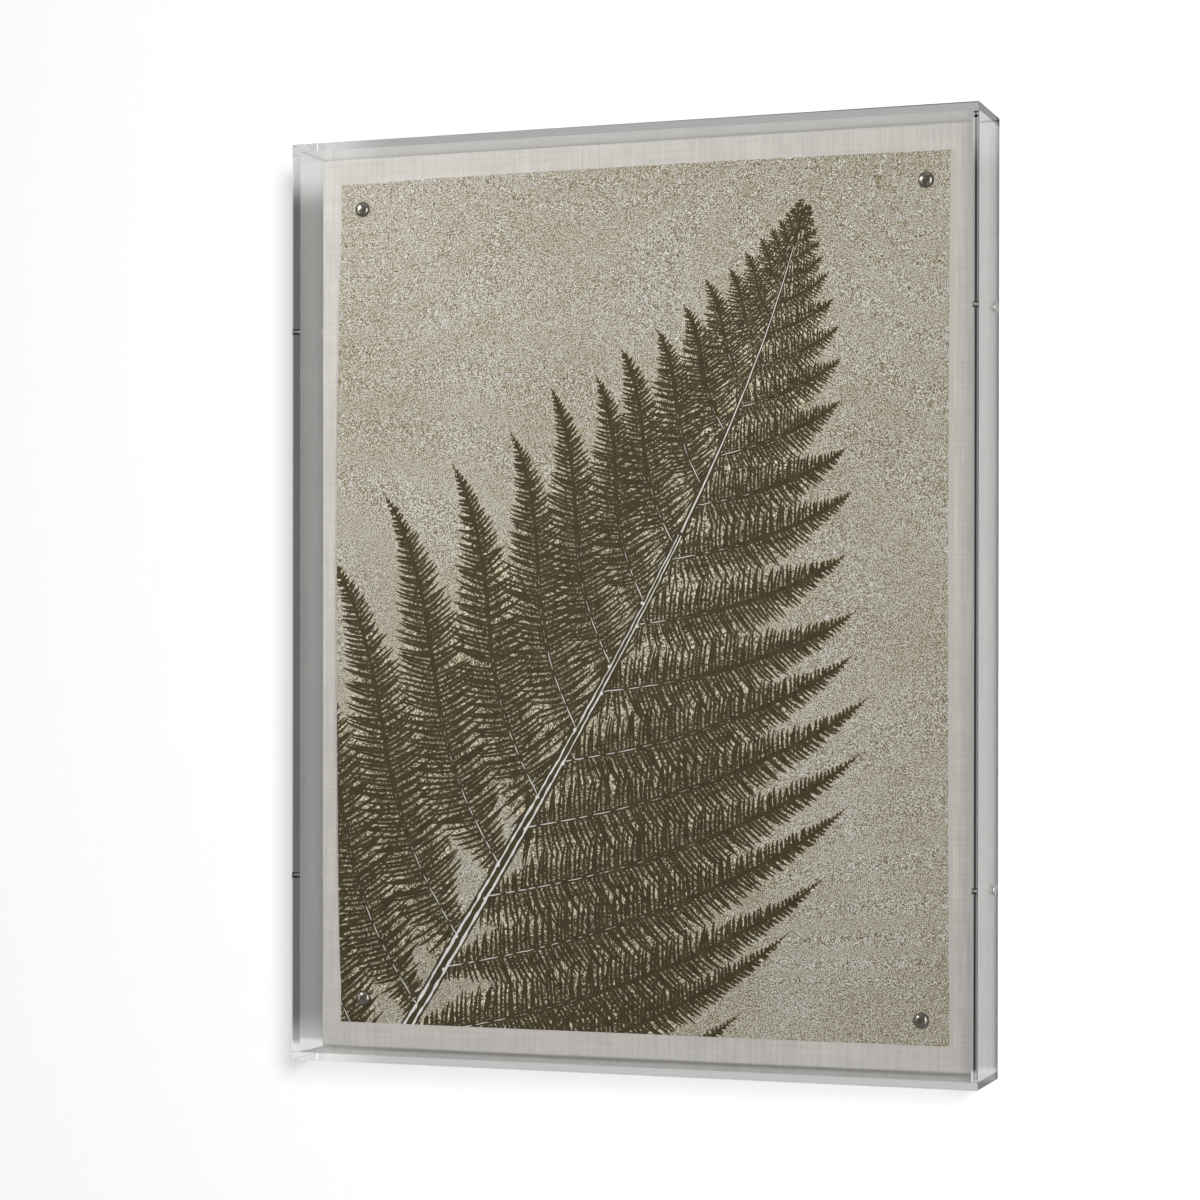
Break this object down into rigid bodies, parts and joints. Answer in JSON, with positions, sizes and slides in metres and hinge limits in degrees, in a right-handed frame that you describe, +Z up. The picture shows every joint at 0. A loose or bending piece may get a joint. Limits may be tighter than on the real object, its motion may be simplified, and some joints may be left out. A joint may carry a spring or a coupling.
{
  "type": "clear box frame with fern print",
  "caption": "Clear acrylic box frame, hung on a wall, that shows a fern printed on a heavy paper sheet, nailed at its corners to a linen-covered panel.",
  "frame": {"origin": "middle of the back of the top bar, in the plane of the wall", "axes": "+Z up, -Y out of the wall towards the viewer, +X to the viewer's right"},
  "size_m": [0.507, 0.066, 0.66],
  "materials": {
    "clear_acrylic": "clear, polished",
    "linen": "fine plain weave",
    "fibreboard": "brown hardboard",
    "softwood": "planed, bare",
    "printed_paper": "matt, ink on stippled ground",
    "antique_nickel": "antique nickel, satin",
    "plated_steel": "bright plated"
  },
  "bodies": {
    "root": {"front_sheet": "clear_acrylic", "left_wall": "clear_acrylic", "right_wall": "clear_acrylic", "top_wall": "clear_acrylic", "bottom_wall": "clear_acrylic", "linen_cover": "linen", "mount_board": "fibreboard", "top_bar": "softwood", "bottom_bar": "softwood", "left_bar": "softwood", "right_bar": "softwood", "print_sheet": "printed_paper", "nail_top_left": "antique_nickel", "nail_top_right": "antique_nickel", "nail_bottom_left": "antique_nickel", "nail_bottom_right": "antique_nickel", "screw_left_upper": "plated_steel", "screw_left_lower": "plated_steel", "screw_right_upper": "plated_steel", "screw_right_lower": "plated_steel"}
  },
  "joints": []
}
